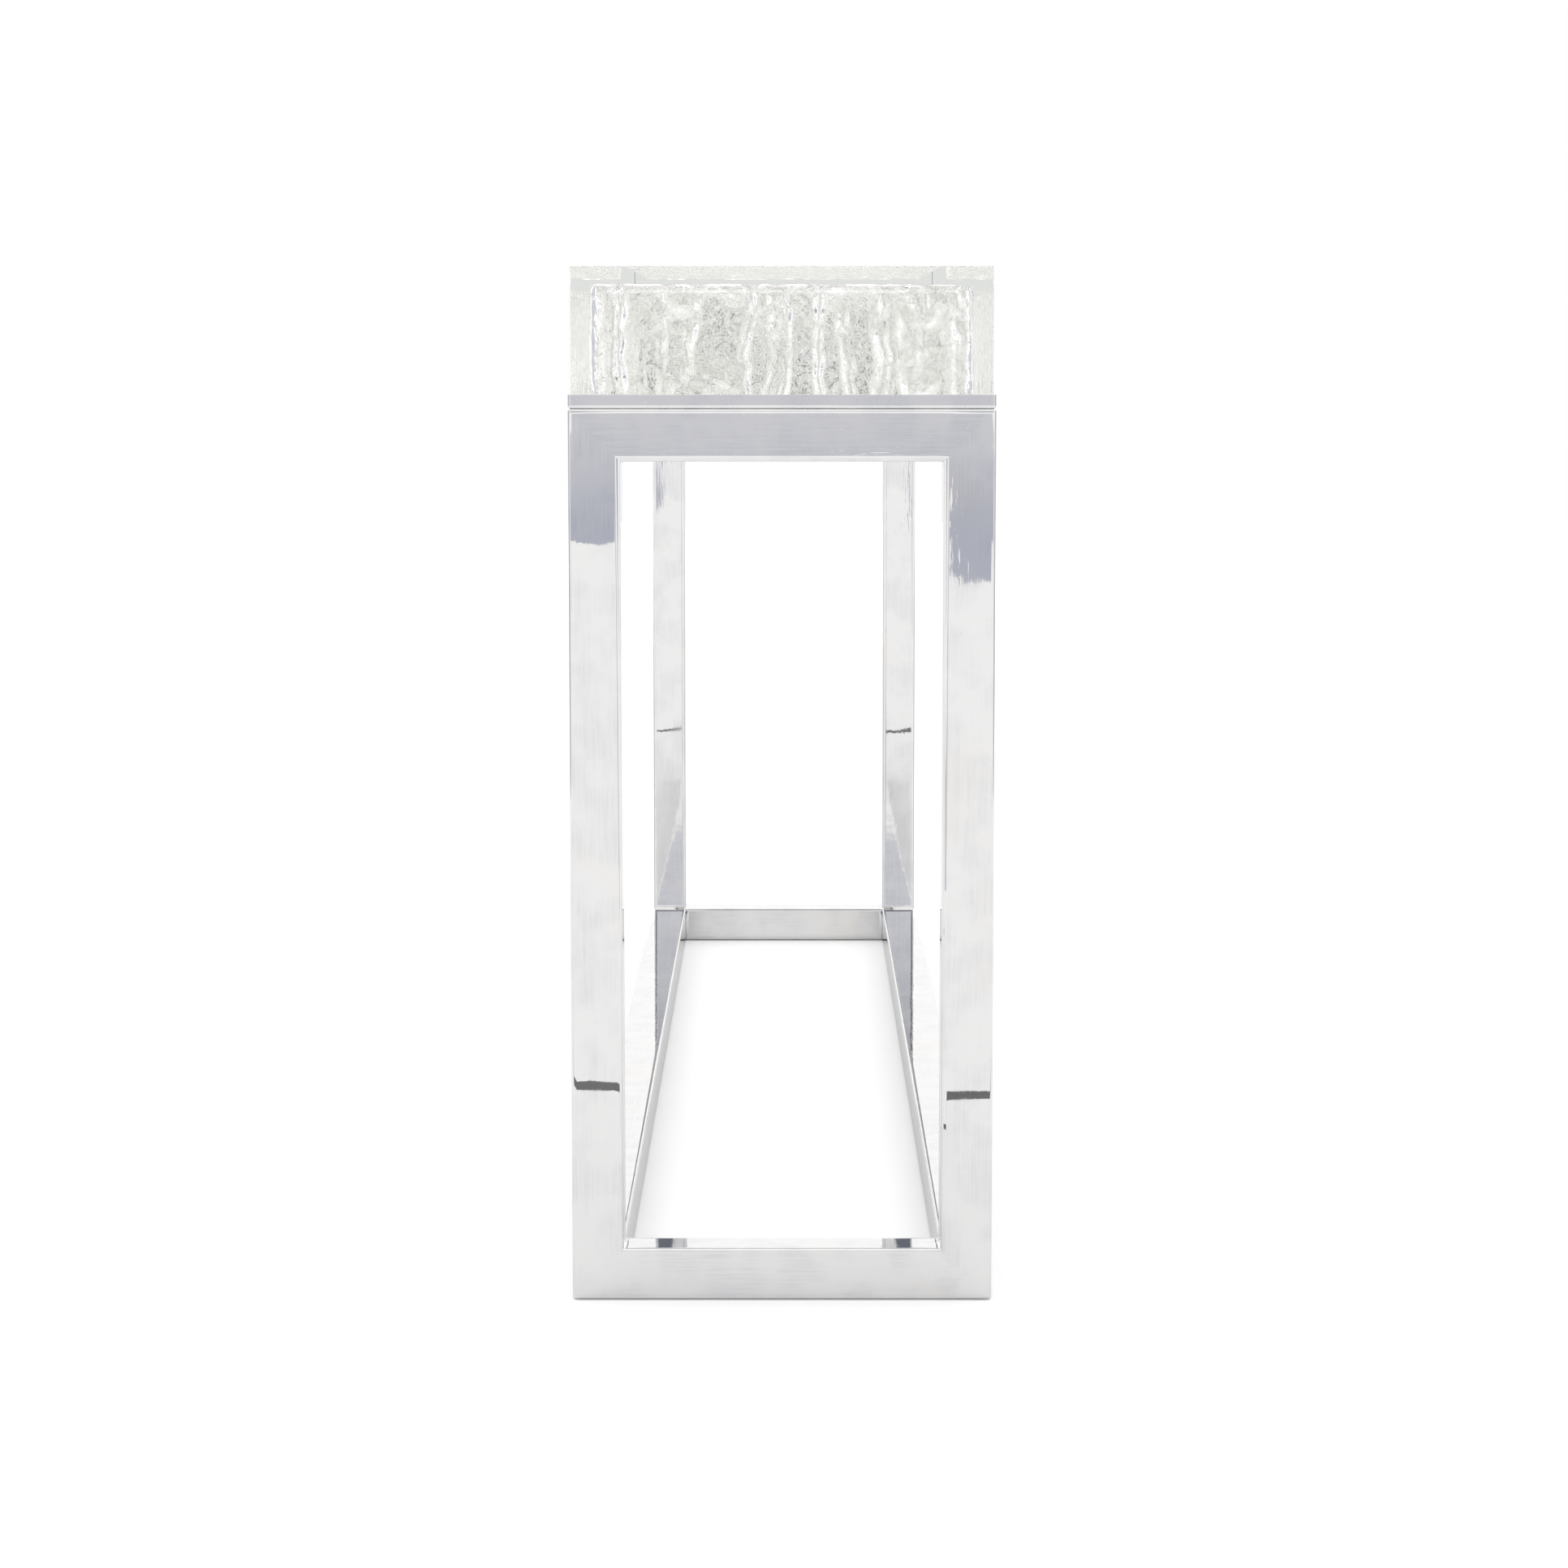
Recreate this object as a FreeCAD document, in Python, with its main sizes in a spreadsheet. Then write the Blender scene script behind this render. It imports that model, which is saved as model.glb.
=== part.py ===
"""Console table: a welded frame of square polished steel tube, a shallow folded pan on top of it,
and a hollow cast glass slab that sits loose in the pan.

Millimetres. X is the length, Y the depth and Z is up; the front is the -Y side and left is -X.
The origin is on the floor, under the middle of the table.
"""
import FreeCAD, Part
import math
import os

import Sketcher

DRIVING_SIZES = [
    # alias, value, what it is
    ("table_length", 1829.0, "overall length, over the frame and the pan"),
    ("table_depth", 311.0, "overall depth, over the frame and the pan"),
    ("table_height", 762.0, "floor to the top of the glass"),
    ("tube_side", 38.1, "outer side of the square frame tube"),
    ("tube_wall", 1.5, "wall of the frame tube"),
    ("tube_radius", 2.0, "outer corner radius of the frame tube"),
    ("tube_inner_radius", 0.5, "inner corner radius of the frame tube"),
    ("pan_height", 10.3, "outer height of the pan's rim"),
    ("pan_sheet", 1.2, "sheet thickness of the pan"),
    ("pan_bend_radius", 2.2, "outer radius where the rim folds up from the floor"),
    ("pan_corner_radius", 2.4, "outer radius of the pan's upright corners"),
    ("slab_height", 100.0, "height of the glass slab"),
    ("slab_gap", 1.0, "gap between the glass and the pan's rim"),
    ("slab_wall", 14.0, "thickness of the glass sides"),
    ("slab_ceiling", 13.5, "thickness of the glass top"),
    ("slab_corner_radius", 1.2, "radius of the slab's upright outer corners"),
    ("slab_arris", 0.8, "polished bevel round the slab's top face"),
    ("cavity_corner_radius", 12.0, "radius of the cavity's upright corners"),
    ("cavity_ceiling_radius", 9.0, "radius where the cavity's sides meet its ceiling"),
    ("bumper_diameter", 10.0, "clear bumper under the slab's sides"),
    ("bumper_thickness", 1.5, "height of a bumper"),
    ("bumper_setback", 72.0, "slab end to the centre of the last bumper"),
    ("bearer_width", 38.0, "width of the flat cross bearers"),
    ("bearer_thickness", 6.0, "thickness of the cross bearers"),
    ("bearer_pitch", 560.0, "centre distance of neighbouring bearers"),
    ("stud_diameter", 6.0, "weld studs under the pan"),
    ("stud_length", 16.0, "length of a weld stud"),
    ("stud_spacing", 140.0, "centre distance of the two studs at a bearer"),
    ("stud_hole_clearance", 0.4, "radial clearance of a stud in its bearer hole"),
    ("stud_tip_chamfer", 0.8, "chamfer at the tip of a stud"),
    ("thread_clearance", 0.05, "radial clearance of nuts and washers on a stud"),
    ("washer_diameter", 12.0, "outer diameter of a washer"),
    ("washer_thickness", 1.6, "thickness of a washer"),
    ("nut_across_flats", 10.0, "hexagon nut, across flats"),
    ("nut_thickness", 5.0, "hexagon nut, thickness"),
    ("glide_diameter", 19.0, "clear glide under the lower rails"),
    ("glide_thickness", 1.0, "height of a glide"),
    ("glide_setback", 90.0, "table end to the centre of the last glide"),
    ("glide_edge", 0.3, "chamfer round a glide or a bumper"),
    ("cut_overshoot", 1.0, "how far a cutting outline runs past the piece it cuts"),
]
BUMPERS_PER_SIDE = 5
SHEET = "Sizes"

X_AXIS = FreeCAD.Vector(1, 0, 0)
Y_AXIS = FreeCAD.Vector(0, 1, 0)
Z_AXIS = FreeCAD.Vector(0, 0, 1)


class Size:
    """A number together with the spreadsheet expression that gives it."""

    def __init__(self, value, text):
        self.value = value
        self.text = text

    def _join(self, other, sign, value):
        text = other.text if isinstance(other, Size) else repr(float(other))
        return Size(value, f"({self.text} {sign} {text})")

    def __add__(self, other):
        return self._join(other, "+", self.value + number(other))

    def __sub__(self, other):
        return self._join(other, "-", self.value - number(other))

    def __mul__(self, other):
        return self._join(other, "*", self.value * number(other))

    def __truediv__(self, other):
        return self._join(other, "/", self.value / number(other))

    def __neg__(self):
        return self * -1


def number(size):
    return size.value if isinstance(size, Size) else float(size)


def driving_sheet(doc):
    """The spreadsheet of driving sizes, and a Size for each of its aliases."""
    sheet = doc.addObject("Spreadsheet::Sheet", SHEET)
    for row, (alias, value, note) in enumerate(DRIVING_SIZES, start=1):
        sheet.set(f"A{row}", alias.replace("_", " "))
        sheet.set(f"B{row}", str(value))
        sheet.setAlias(f"B{row}", alias)
        sheet.set(f"C{row}", note)
    doc.recompute()
    return {alias: Size(float(sheet.get(alias)), f"{SHEET}.{alias}") for alias, _, _ in DRIVING_SIZES}


def bind(thing, path, size):
    """Set a property of a document object and tie it to the spreadsheet."""
    if isinstance(size, Size):
        thing.setExpression(path, size.text)
    elif "." not in path:
        setattr(thing, path, size)


def new_body(doc, name, group=False):
    """A body of one solid, or of several separate solids if it is a group."""
    body = doc.addObject("PartDesign::Body", name)
    body.Label = name
    body.AllowCompound = group
    return body


def new_sketch(body, name, role):
    plane = next(item for item in body.Origin.OriginFeatures if item.Role == role)
    sketch = body.newObject("Sketcher::SketchObject", f"{body.Name}_{name}")
    sketch.AttachmentSupport = (plane, [""])
    sketch.MapMode = "FlatFace"
    return sketch


def constrain(sketch, size, kind, *points):
    """Add a dimension to a sketch and tie it to the spreadsheet."""
    index = sketch.addConstraint(Sketcher.Constraint(kind, *points, number(size)))
    if isinstance(size, Size):
        sketch.setExpression(f"Constraints[{index}]", size.text)


def draw_outline(sketch, corners):
    """A closed outline of straight lines through the given corners."""
    start = sketch.GeometryCount
    places = [FreeCAD.Vector(number(x), number(y), 0) for x, y in corners]
    count = len(corners)
    for i in range(count):
        sketch.addGeometry(Part.LineSegment(places[i], places[(i + 1) % count]), False)
    for i in range(count):
        following = start + (i + 1) % count
        sketch.addConstraint(Sketcher.Constraint("Coincident", start + i, 2, following, 1))
    for i, (x, y) in enumerate(corners):
        constrain(sketch, x, "DistanceX", -1, 1, start + i, 1)
        constrain(sketch, y, "DistanceY", -1, 1, start + i, 1)


def draw_rounded_rectangle(sketch, width, depth, radius):
    """A rectangle about the sketch's origin, with its four corners rounded."""
    start = sketch.GeometryCount
    half_x, half_y, r = number(width) / 2, number(depth) / 2, number(radius)
    for i, (sx, sy) in enumerate([(1, 1), (-1, 1), (-1, -1), (1, -1)]):
        centre = FreeCAD.Vector(sx * (half_x - r), sy * (half_y - r), 0)
        turn = i * math.pi / 2
        corner = Part.ArcOfCircle(Part.Circle(centre, Z_AXIS, r), turn, turn + math.pi / 2)
        sketch.addGeometry(corner, False)
    for i in range(4):
        arc_end = sketch.getPoint(start + i, 2)
        next_start = sketch.getPoint(start + (i + 1) % 4, 1)
        sketch.addGeometry(Part.LineSegment(arc_end, next_start), False)
    for i in range(4):
        arc, side, next_arc = start + i, start + 4 + i, start + (i + 1) % 4
        sketch.addConstraint(Sketcher.Constraint("Tangent", arc, 2, side, 1))
        sketch.addConstraint(Sketcher.Constraint("Tangent", side, 2, next_arc, 1))
        sketch.addConstraint(Sketcher.Constraint(("Horizontal", "Vertical")[i % 2], side))
        if i:
            sketch.addConstraint(Sketcher.Constraint("Equal", start, arc))
    sketch.addConstraint(Sketcher.Constraint("Symmetric", start, 3, start + 2, 3, -1, 1))
    constrain(sketch, width, "DistanceX", start + 5, 1, start + 7, 1)
    constrain(sketch, depth, "DistanceY", start + 6, 1, start + 4, 1)
    constrain(sketch, radius, "Radius", start)


def draw_circle(sketch, x, y, radius):
    index = sketch.GeometryCount
    centre = FreeCAD.Vector(number(x), number(y), 0)
    sketch.addGeometry(Part.Circle(centre, Z_AXIS, number(radius)), False)
    constrain(sketch, radius, "Radius", index)
    constrain(sketch, x, "DistanceX", -1, 1, index, 3)
    constrain(sketch, y, "DistanceY", -1, 1, index, 3)


def pad(body, sketch, length):
    feature = body.newObject("PartDesign::Pad", f"{sketch.Name}_pad")
    feature.Profile = sketch
    bind(feature, "Length", length)
    body.Document.recompute()
    return feature


def pocket(body, sketch, depth, reverse=False, both_sides=False):
    """Cut the sketch into the body, and make sure that something was cut."""
    before = body.Shape.Volume
    feature = body.newObject("PartDesign::Pocket", f"{sketch.Name}_pocket")
    feature.Profile = sketch
    feature.Reversed = reverse
    if both_sides:
        feature.SideType = "Symmetric"
    bind(feature, "Length", depth)
    body.Document.recompute()
    if not body.Shape.Volume < before:
        raise RuntimeError(f"{feature.Name} cut nothing")
    return feature


def edges_at_height(feature, height):
    """Names of the feature's edges that lie flat at one height in the body's own frame."""
    names = []
    for i, edge in enumerate(feature.Shape.Edges, start=1):
        box = edge.BoundBox
        if abs(box.ZMin - number(height)) < 1e-4 and abs(box.ZMax - number(height)) < 1e-4:
            names.append(f"Edge{i}")
    return names


def round_edges(body, base, kind, names, size):
    """A PartDesign Fillet or Chamfer on some edges of the last feature."""
    feature = body.newObject(f"PartDesign::{kind}", f"{base.Name}_{kind.lower()}")
    feature.Base = (base, names)
    bind(feature, "Radius" if kind == "Fillet" else "Size", size)
    body.Document.recompute()
    return feature


def place(body, x, y, z, x_direction=X_AXIS, z_direction=Z_AXIS):
    """Put a body in the table, with its own X and Z axes along the given directions."""
    y_direction = z_direction.cross(x_direction)
    rotation = FreeCAD.Rotation(x_direction, y_direction, z_direction, "ZXY")
    body.Placement = FreeCAD.Placement(FreeCAD.Vector(number(x), number(y), number(z)), rotation)
    for axis, size in (("x", x), ("y", y), ("z", z)):
        bind(body, f"Placement.Base.{axis}", size)


def make_tube(doc, s, name, length, mitred):
    """A square tube standing on its own XY plane. Its own +X side is the outer side of a mitre."""
    body = new_body(doc, name)
    section = new_sketch(body, "section", "XY_Plane")
    draw_rounded_rectangle(section, s["tube_side"], s["tube_side"], s["tube_radius"])
    bore = s["tube_side"] - s["tube_wall"] * 2
    draw_rounded_rectangle(section, bore, bore, s["tube_inner_radius"])
    pad(body, section, length)
    if mitred:
        reach = s["tube_side"] / 2 + s["cut_overshoot"]
        beyond = -s["cut_overshoot"]
        mitre_depth = s["tube_side"] + s["cut_overshoot"]
        cut = new_sketch(body, "mitres", "XZ_Plane")
        draw_outline(cut, [(reach, beyond), (-reach, mitre_depth), (-reach, beyond)])
        top = length + s["cut_overshoot"]
        draw_outline(cut, [(reach, top), (-reach, top), (-reach, length - mitre_depth)])
        pocket(body, cut, reach * 2, both_sides=True)
    return body


def make_frame(doc, s):
    """Two mitred end frames, joined by four long rails that butt between them."""
    side = s["tube_side"]
    end_x = s["table_length"] / 2 - side / 2
    edge_y = s["table_depth"] / 2 - side / 2
    floor = s["glide_thickness"]
    frame_top = pan_seat(s)
    frame_height = frame_top - floor
    parts = []
    for end, end_sign in (("left", -1), ("right", 1)):
        for face, face_sign in (("front", -1), ("rear", 1)):
            leg = make_tube(doc, s, f"leg_{face}_{end}", frame_height, mitred=True)
            place(leg, end_x * end_sign, edge_y * face_sign, floor, Y_AXIS * face_sign)
            parts.append(leg)
        for level, level_sign, z in (
            ("upper", 1, frame_top - side / 2),
            ("lower", -1, floor + side / 2),
        ):
            rail = make_tube(doc, s, f"{level}_end_rail_{end}", s["table_depth"], mitred=True)
            place(rail, end_x * end_sign, -s["table_depth"] / 2, z, Z_AXIS * level_sign, Y_AXIS)
            parts.append(rail)
    long_rail_length = s["table_length"] - side * 2
    for level, z in (("upper", frame_top - side / 2), ("lower", floor + side / 2)):
        for face, face_sign in (("front", -1), ("rear", 1)):
            rail = make_tube(doc, s, f"{level}_long_rail_{face}", long_rail_length, mitred=False)
            place(rail, -long_rail_length / 2, edge_y * face_sign, z, Z_AXIS, X_AXIS)
            parts.append(rail)
    return parts


def pan_seat(s):
    """Height of the frame's top, which the pan stands on."""
    return s["table_height"] - s["slab_height"] - s["bumper_thickness"] - s["pan_sheet"]


def make_pan(doc, s):
    """The folded pan: a sheet floor with a low rim all round, its corners welded."""
    pan = new_body(doc, "deck_pan")
    blank = new_sketch(pan, "blank", "XY_Plane")
    draw_rounded_rectangle(blank, s["table_length"], s["table_depth"], s["pan_corner_radius"])
    outer = pad(pan, blank, s["pan_height"])
    round_edges(pan, outer, "Fillet", edges_at_height(outer, 0), s["pan_bend_radius"])
    inside = new_sketch(pan, "inside", "XY_Plane")
    inside.AttachmentOffset = FreeCAD.Placement(
        FreeCAD.Vector(0, 0, number(s["pan_sheet"])), FreeCAD.Rotation()
    )
    bind(inside, "AttachmentOffset.Base.z", s["pan_sheet"])
    draw_rounded_rectangle(
        inside,
        s["table_length"] - s["pan_sheet"] * 2,
        s["table_depth"] - s["pan_sheet"] * 2,
        s["pan_corner_radius"] - s["pan_sheet"],
    )
    hollow = pocket(pan, inside, s["pan_height"], reverse=True)
    floor_edges = edges_at_height(hollow, s["pan_sheet"])
    round_edges(pan, hollow, "Fillet", floor_edges, s["pan_bend_radius"] - s["pan_sheet"])
    place(pan, 0, 0, pan_seat(s))
    return [pan]


def slab_size(s):
    """Length and depth of the slab, which fits inside the pan's rim."""
    around = (s["pan_sheet"] + s["slab_gap"]) * 2
    return s["table_length"] - around, s["table_depth"] - around


def make_slab(doc, s):
    """The cast glass slab: a box that is open underneath, with thick sides and top."""
    slab = new_body(doc, "glass_slab")
    length, depth = slab_size(s)
    block = new_sketch(slab, "block", "XY_Plane")
    draw_rounded_rectangle(block, length, depth, s["slab_corner_radius"])
    outer = pad(slab, block, s["slab_height"])
    top_edges = edges_at_height(outer, s["slab_height"])
    round_edges(slab, outer, "Chamfer", top_edges, s["slab_arris"])
    cavity = new_sketch(slab, "cavity", "XY_Plane")
    walls = s["slab_wall"] * 2
    draw_rounded_rectangle(cavity, length - walls, depth - walls, s["cavity_corner_radius"])
    cavity_height = s["slab_height"] - s["slab_ceiling"]
    hollow = pocket(slab, cavity, cavity_height, reverse=True)
    ceiling_edges = edges_at_height(hollow, cavity_height)
    round_edges(slab, hollow, "Fillet", ceiling_edges, s["cavity_ceiling_radius"])
    place(slab, 0, 0, pan_seat(s) + s["pan_sheet"] + s["bumper_thickness"])
    return [slab]


def make_disc(doc, name, diameter, thickness, edge, rounded_height):
    """A flat round pad with a small chamfer round one of its faces."""
    body = new_body(doc, name)
    outline = new_sketch(body, "outline", "XY_Plane")
    draw_circle(outline, 0, 0, diameter / 2)
    disc = pad(body, outline, thickness)
    round_edges(body, disc, "Chamfer", edges_at_height(disc, rounded_height), edge)
    return body


def make_bumpers(doc, s):
    """Clear bumpers on the pan's floor, under the middle of the slab's long sides."""
    length, depth = slab_size(s)
    last_x = length / 2 - s["bumper_setback"]
    middle_y = depth / 2 - s["slab_wall"] / 2
    z = pan_seat(s) + s["pan_sheet"]
    bumpers = []
    for face, face_sign in (("front", -1), ("rear", 1)):
        for i in range(BUMPERS_PER_SIDE):
            share = 2 * i / (BUMPERS_PER_SIDE - 1) - 1
            bumper = make_disc(
                doc,
                f"slab_bumper_{face}_{i + 1}",
                s["bumper_diameter"],
                s["bumper_thickness"],
                s["glide_edge"],
                s["bumper_thickness"],
            )
            place(bumper, last_x * share, middle_y * face_sign, z)
            bumpers.append(bumper)
    return bumpers


def make_glides(doc, s):
    """Thin clear glides under the lower long rails, at their ends and their middle."""
    last_x = s["table_length"] / 2 - s["glide_setback"]
    edge_y = s["table_depth"] / 2 - s["tube_side"] / 2
    glides = []
    for face, face_sign in (("front", -1), ("rear", 1)):
        for spot, share in (("left", -1), ("middle", 0), ("right", 1)):
            glide = make_disc(
                doc,
                f"floor_glide_{face}_{spot}",
                s["glide_diameter"],
                s["glide_thickness"],
                s["glide_edge"],
                0,
            )
            place(glide, last_x * share, edge_y * face_sign, 0)
            glides.append(glide)
    return glides


def stud_places(s):
    """Places of the studs, as (x, y): two at each of the three bearers."""
    half = s["stud_spacing"] / 2
    return [(s["bearer_pitch"] * i, half * j) for i in (-1, 0, 1) for j in (-1, 1)]


def make_bearers(doc, s):
    """Flat bars welded between the upper long rails, flush with the frame's top."""
    span = s["table_depth"] - s["tube_side"] * 2
    bearers = []
    for spot, i in (("left", -1), ("middle", 0), ("right", 1)):
        bar = new_body(doc, f"cross_bearer_{spot}")
        outline = new_sketch(bar, "outline", "XY_Plane")
        half_width, half_span = s["bearer_width"] / 2, span / 2
        draw_outline(
            outline,
            [
                (-half_width, -half_span),
                (half_width, -half_span),
                (half_width, half_span),
                (-half_width, half_span),
            ],
        )
        for j in (-1, 1):
            hole_radius = s["stud_diameter"] / 2 + s["stud_hole_clearance"]
            draw_circle(outline, 0, s["stud_spacing"] / 2 * j, hole_radius)
        pad(bar, outline, s["bearer_thickness"])
        place(bar, s["bearer_pitch"] * i, 0, pan_seat(s) - s["bearer_thickness"])
        bearers.append(bar)
    return bearers


def make_fixings(doc, s):
    """The pan's weld studs, and the washers and nuts that hold it down on the bearers."""
    stud_radius = s["stud_diameter"] / 2
    bore_radius = stud_radius + s["thread_clearance"]

    studs = new_body(doc, "pan_weld_studs", group=True)
    rounds = new_sketch(studs, "rounds", "XY_Plane")
    for x, y in stud_places(s):
        draw_circle(rounds, x, y, stud_radius)
    shanks = pad(studs, rounds, s["stud_length"])
    round_edges(studs, shanks, "Chamfer", edges_at_height(shanks, 0), s["stud_tip_chamfer"])
    place(studs, 0, 0, pan_seat(s) - s["stud_length"])

    washers = new_body(doc, "stud_washers", group=True)
    rings = new_sketch(washers, "rings", "XY_Plane")
    for x, y in stud_places(s):
        draw_circle(rings, x, y, s["washer_diameter"] / 2)
        draw_circle(rings, x, y, bore_radius)
    pad(washers, rings, s["washer_thickness"])
    washer_z = pan_seat(s) - s["bearer_thickness"] - s["washer_thickness"]
    place(washers, 0, 0, washer_z)

    nuts = new_body(doc, "stud_nuts", group=True)
    hexagons = new_sketch(nuts, "hexagons", "XY_Plane")
    across_corners = s["nut_across_flats"] * (2 / math.sqrt(3))
    for x, y in stud_places(s):
        corners = []
        for i in range(6):
            turn = i * math.pi / 3
            corners.append(
                (x + across_corners / 2 * math.cos(turn), y + across_corners / 2 * math.sin(turn))
            )
        draw_outline(hexagons, corners)
        draw_circle(hexagons, x, y, bore_radius)
    pad(nuts, hexagons, s["nut_thickness"])
    place(nuts, 0, 0, washer_z - s["nut_thickness"])
    return [studs, washers, nuts]


def check(doc, parts):
    """Stop if any object failed, or if any sub-part has no sound solid."""
    for item in doc.Objects:
        if "Invalid" in item.State or "Error" in item.State:
            raise RuntimeError(f"{item.Name} failed: {item.State}")
    for part in parts:
        shape = part.Shape
        if shape.isNull() or not shape.isValid() or not shape.Solids:
            raise RuntimeError(f"{part.Label} has no valid solid")


def main():
    doc = FreeCAD.newDocument("console_table")
    s = driving_sheet(doc)
    parts = make_frame(doc, s)
    parts += make_pan(doc, s)
    parts += make_slab(doc, s)
    parts += make_bumpers(doc, s)
    parts += make_glides(doc, s)
    parts += make_bearers(doc, s)
    parts += make_fixings(doc, s)
    doc.recompute()
    check(doc, parts)
    os.makedirs("parts", exist_ok=True)
    for part in parts:
        part.Shape.exportStep(f"parts/{part.Label}.step")
    print(f"{len(parts)} sub-parts written")


main()
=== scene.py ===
import math

import bmesh
import bpy
from mathutils import Euler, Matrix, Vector


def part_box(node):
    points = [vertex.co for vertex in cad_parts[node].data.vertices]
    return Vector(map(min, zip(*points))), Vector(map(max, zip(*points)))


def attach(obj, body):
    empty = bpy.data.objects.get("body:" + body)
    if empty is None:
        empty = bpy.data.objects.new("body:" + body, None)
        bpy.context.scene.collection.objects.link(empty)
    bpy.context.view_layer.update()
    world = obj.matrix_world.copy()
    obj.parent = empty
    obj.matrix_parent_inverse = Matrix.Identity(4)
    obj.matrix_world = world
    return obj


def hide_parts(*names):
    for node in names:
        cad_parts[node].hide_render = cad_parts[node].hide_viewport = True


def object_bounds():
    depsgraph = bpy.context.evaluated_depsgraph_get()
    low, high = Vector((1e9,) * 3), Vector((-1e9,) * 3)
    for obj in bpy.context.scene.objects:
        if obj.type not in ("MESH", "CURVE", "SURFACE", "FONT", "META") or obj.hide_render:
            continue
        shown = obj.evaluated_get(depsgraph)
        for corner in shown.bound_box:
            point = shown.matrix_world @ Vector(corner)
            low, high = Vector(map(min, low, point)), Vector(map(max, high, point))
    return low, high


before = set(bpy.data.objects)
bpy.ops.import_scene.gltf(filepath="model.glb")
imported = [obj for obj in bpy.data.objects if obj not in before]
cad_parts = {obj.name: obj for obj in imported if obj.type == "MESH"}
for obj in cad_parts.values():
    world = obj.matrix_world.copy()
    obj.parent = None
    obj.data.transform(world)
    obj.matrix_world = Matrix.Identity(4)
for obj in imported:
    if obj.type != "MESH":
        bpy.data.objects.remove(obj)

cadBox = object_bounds()
scene = bpy.context.scene
rootBody = "frame_and_pan"
slabBody = "slab"
mm = 0.001


# an sRGB colour such as #C0C0C0, as the linear one that the shaders take
def hexColour(code):
    parts = [int(code[i:i + 2], 16) / 255 for i in (1, 3, 5)]
    linear = [c / 12.92 if c <= 0.04045 else ((c + 0.055) / 1.055) ** 2.4 for c in parts]
    return (*linear, 1.0)


# adds one node: settings are its properties, links its inputs, as values or as sockets to join
def addNode(tree, kind, settings=None, links=None):
    node = tree.nodes.new(kind)
    for name, value in (settings or {}).items():
        setattr(node, name, value)
    for key, value in (links or {}).items():
        if isinstance(value, bpy.types.NodeSocket):
            tree.links.new(value, node.inputs[key])
        else:
            node.inputs[key].default_value = value
    return node


def newMaterial(name):
    material = bpy.data.materials.new(name)
    material.use_nodes = True
    material.node_tree.nodes.clear()
    return material, material.node_tree


def finishMaterial(tree, shader):
    tree.links.new(shader.outputs[0], addNode(tree, "ShaderNodeOutputMaterial").inputs[0])


def giveMaterial(piece, material):
    piece.data.materials.clear()
    piece.data.materials.append(material)


def newPiece(name, mesh, body, replaced):
    piece = bpy.data.objects.new(name, mesh)
    scene.collection.objects.link(piece)
    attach(piece, body)
    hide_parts(*replaced)
    return piece


def meshFrom(bm, name):
    mesh = bpy.data.meshes.new(name)
    bm.to_mesh(mesh)
    bm.free()
    return mesh


def smoothByAngle(mesh, degrees):
    mesh.shade_smooth()
    mesh.set_sharp_from_angle(angle=math.radians(degrees))


camera = {
    "lens": 89.8,
    "sensor": 36,
    "distance": 2.8456,  # from the near end of the table
    "aside": 0.0038,
    "height": 0.6990,
    "down": 6.278,  # degrees, as is the turn
    "turn": 0.047,
}
cameraData = bpy.data.cameras.new("endOnCamera")
cameraData.lens = camera["lens"]
cameraData.sensor_width = camera["sensor"]
cameraData.clip_end = 200
cameraObject = bpy.data.objects.new("endOnCamera", cameraData)
cameraObject.location = (cadBox[1][0] + camera["distance"], camera["aside"], camera["height"])
cameraObject.rotation_euler = Euler(
    (math.radians(90 - camera["down"]), 0, math.radians(90 + camera["turn"]))
)
scene.collection.objects.link(cameraObject)
scene.camera = cameraObject
print("camera placed")


studio = {
    "backdrop": "#FFFFFF",
    "roomColour": "#FFFFFF",
    "roomLevel": 1.08,
    "farUpperLevel": 1.65,  # a large softbox over the far end, and two that flank it
    "farSideLevel": 1.50,
    "overheadLevel": 1.25,
    "farPanel": "#EEF0F4",  # a pale grey panel beyond the far end, at the height of the glass
    "longSideShade": "#E4E5E8",  # what stands along both long sides of the table
    "stripe": "#9DA1A9",  # upright dark flags in it
    "stripeSpacing": 0.21,
    "hazeLow": "#B5B8C4",  # the open end of the room, behind the camera, from its floor upwards
    "hazeHigh": "#D3D4D9",
    "duskLow": "#DADCE2",
    "duskHigh": "#6A6F78",
    "openHalfWidth": 0.35,
    "openFade": 0.1,
}

# Where each part of the room starts and where it is full. A height is the sine of the angle above the
# horizon, and a width is the direction's part along Y.
fades = {
    "nearHalf": (0.0, 0.1),
    "farHalf": (0.0, -0.1),
    "hazeBlend": (-0.050, -0.015),
    "hazeTop": (0.055, 0.035),
    "duskBlend": (0.13, 0.24),
    "duskBottom": (0.118, 0.124),
    "duskTop": (0.40, 0.30),
    "panelTop": (0.075, 0.055),
    "panelWidth": (0.16, 0.12),
    "longSide": (0.60, 0.80),
    "longSideBottom": (-0.60, -0.50),
    "longSideTop": (0.62, 0.30),
    "stripeEdge": (-0.5, 0.5),
    "farUpperBottom": (0.24, 0.34),
    "farUpperTop": (0.85, 0.70),
    "farUpperWidth": (0.60, 0.45),
    "farSideInner": (0.28, 0.36),
    "farSideOuter": (0.66, 0.56),
    "farSideTop": (0.34, 0.24),
    "overhead": (0.75, 0.92),
}

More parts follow.
